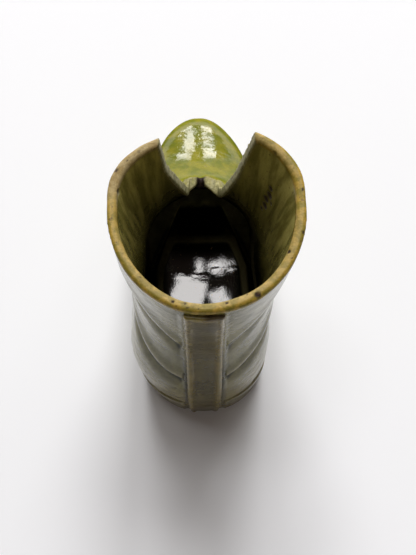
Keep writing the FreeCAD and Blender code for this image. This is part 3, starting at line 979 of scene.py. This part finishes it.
# Roof panes: from left to right, and from straight up towards the toe, in degrees
ROOF_PANES = (
    (-0.4, 4, 4, 12, 8.7), (-10.5, -5, 5.5, 16, 8.7), (-16.6, -11, 3, 14, 8.7),
    (-0.4, 17.5, 17, 43, 8.7), (-14.6, -5, 25, 43, 8.7),
)
# Broad dim light from behind the camera
BACK_PANE = (162, 198, 30, 62, 0.5)
TOE_AIM = (0.0, 40.0, 22.0)
BOWL_AIM = (-1.3, -12.0, 11.5)
WINDOW_COLOUR = (1.0, 0.975, 0.96)
WORLD_LIGHT = 0.07
WORLD_COLOUR = (1.0, 0.72, 0.58, 1)
FLOOR_COLOUR = (0.90, 0.928, 0.965, 1)
FLOOR_ROUGHNESS = 0.8

# Distance of the panes, and half the floor's width, in metres
WINDOW_REACH = 3.0
FLOOR_REACH = 3


def make_camera():
    """Camera looking steeply down from behind the heel."""
    data = bpy.data.cameras.new("camera")
    data.sensor_fit = "VERTICAL"
    data.sensor_height = SENSOR
    data.lens = LENS
    camera = bpy.data.objects.new("camera", data)
    bpy.context.scene.collection.objects.link(camera)
    yaw = Matrix.Rotation(math.radians(CAMERA_YAW), 4, "Z")
    pitch = Matrix.Rotation(math.radians(90 - CAMERA_PITCH), 4, "X")
    roll = Matrix.Rotation(math.radians(CAMERA_ROLL), 4, "Z")
    camera.matrix_world = Matrix.Translation(Vector(CAMERA_PLACE) * MM) @ yaw @ pitch @ roll
    bpy.context.scene.camera = camera


def make_pane(aim, direction, width, height, brightness):
    """Bright rectangle that faces the boot from a direction, with its sizes in degrees."""
    lamp = bpy.data.lights.new("pane", "AREA")
    lamp.shape = "RECTANGLE"
    lamp.size = 2 * WINDOW_REACH * math.tan(math.radians(width / 2))
    lamp.size_y = 2 * WINDOW_REACH * math.tan(math.radians(height / 2))
    lamp.energy = brightness * math.pi * lamp.size * lamp.size_y
    lamp.color = WINDOW_COLOUR
    pane = bpy.data.objects.new("pane", lamp)
    bpy.context.scene.collection.objects.link(pane)
    pane.location = Vector(aim) * MM + direction * WINDOW_REACH
    pane.rotation_euler = (-direction).to_track_quat("-Z", "Y").to_euler()


def make_lights():
    world = bpy.data.worlds.new("world")
    bpy.context.scene.world = world
    world.use_nodes = True
    background = world.node_tree.nodes["Background"]
    background.inputs["Color"].default_value = WORLD_COLOUR
    background.inputs["Strength"].default_value = WORLD_LIGHT
    for left, right, low, high, brightness in (*PANES, BACK_PANE):
        around, up = math.radians((left + right) / 2), math.radians((low + high) / 2)
        level = math.cos(up)
        direction = Vector((math.sin(around) * level, math.cos(around) * level, math.sin(up)))
        make_pane(TOE_AIM, direction, (right - left) * level, high - low, brightness)
    for left, right, near, far, brightness in ROOF_PANES:
        across, along = math.radians((left + right) / 2), math.radians((near + far) / 2)
        upright = math.cos(across)
        direction = Vector((math.sin(across), math.sin(along) * upright, math.cos(along) * upright))
        make_pane(BOWL_AIM, direction, right - left, far - near, brightness)


def make_floor():
    mesh = bpy.data.meshes.new("floor")
    corners = [(-FLOOR_REACH, -FLOOR_REACH, 0), (FLOOR_REACH, -FLOOR_REACH, 0),
               (FLOOR_REACH, FLOOR_REACH, 0), (-FLOOR_REACH, FLOOR_REACH, 0)]
    mesh.from_pydata(corners, [], [(0, 1, 2, 3)])
    floor = bpy.data.objects.new("floor", mesh)
    bpy.context.scene.collection.objects.link(floor)
    net = Net("paper")
    net.shader.inputs["Base Color"].default_value = FLOOR_COLOUR
    net.shader.inputs["Roughness"].default_value = FLOOR_ROUGHNESS
    mesh.materials.append(net.material)


# The clay elements

def make_piece(glazes, nodes, slot, voxel, edge_rounds, lapped=False, **forms):
    """One glazed skin over some solids, with the functions that give it its form and masks."""
    obj = copy_of(nodes, lapped)
    glaze_over(obj, voxel, edge_rounds, **forms)
    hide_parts(*nodes)
    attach(obj, "root")
    obj.data.materials.append(glazes[slot])


def main():
    bpy.context.scene.view_settings.view_transform = "Standard"
    make_camera()
    make_lights()
    make_floor()
    glazes = {slot: glaze_material(slot, *glaze) for slot, glaze in GLAZES.items()}
    make_piece(glazes, ["upper_left_half", "upper_right_half"], "leg_glaze", VOXEL,
               LEG_EDGE_ROUNDS, lapped=True,
               shape=shape_leg, masks=leg_masks, melt=melt_leg, deepen=folded_leg)
    make_piece(glazes, ["outsole"], "sole_glaze", VOXEL, SOLE_EDGE_ROUNDS,
               shape=pool_floor, masks=floor_masks)
    make_piece(glazes, ["heel_block"], "sole_glaze", VOXEL, SOLE_EDGE_ROUNDS)
    make_piece(glazes, ["back_strap", "pull_tab"], "strap_glaze", FINE_VOXEL, STRAP_EDGE_ROUNDS,
               shape=shape_strap, masks=strap_masks, melt=melt_tab)


main()
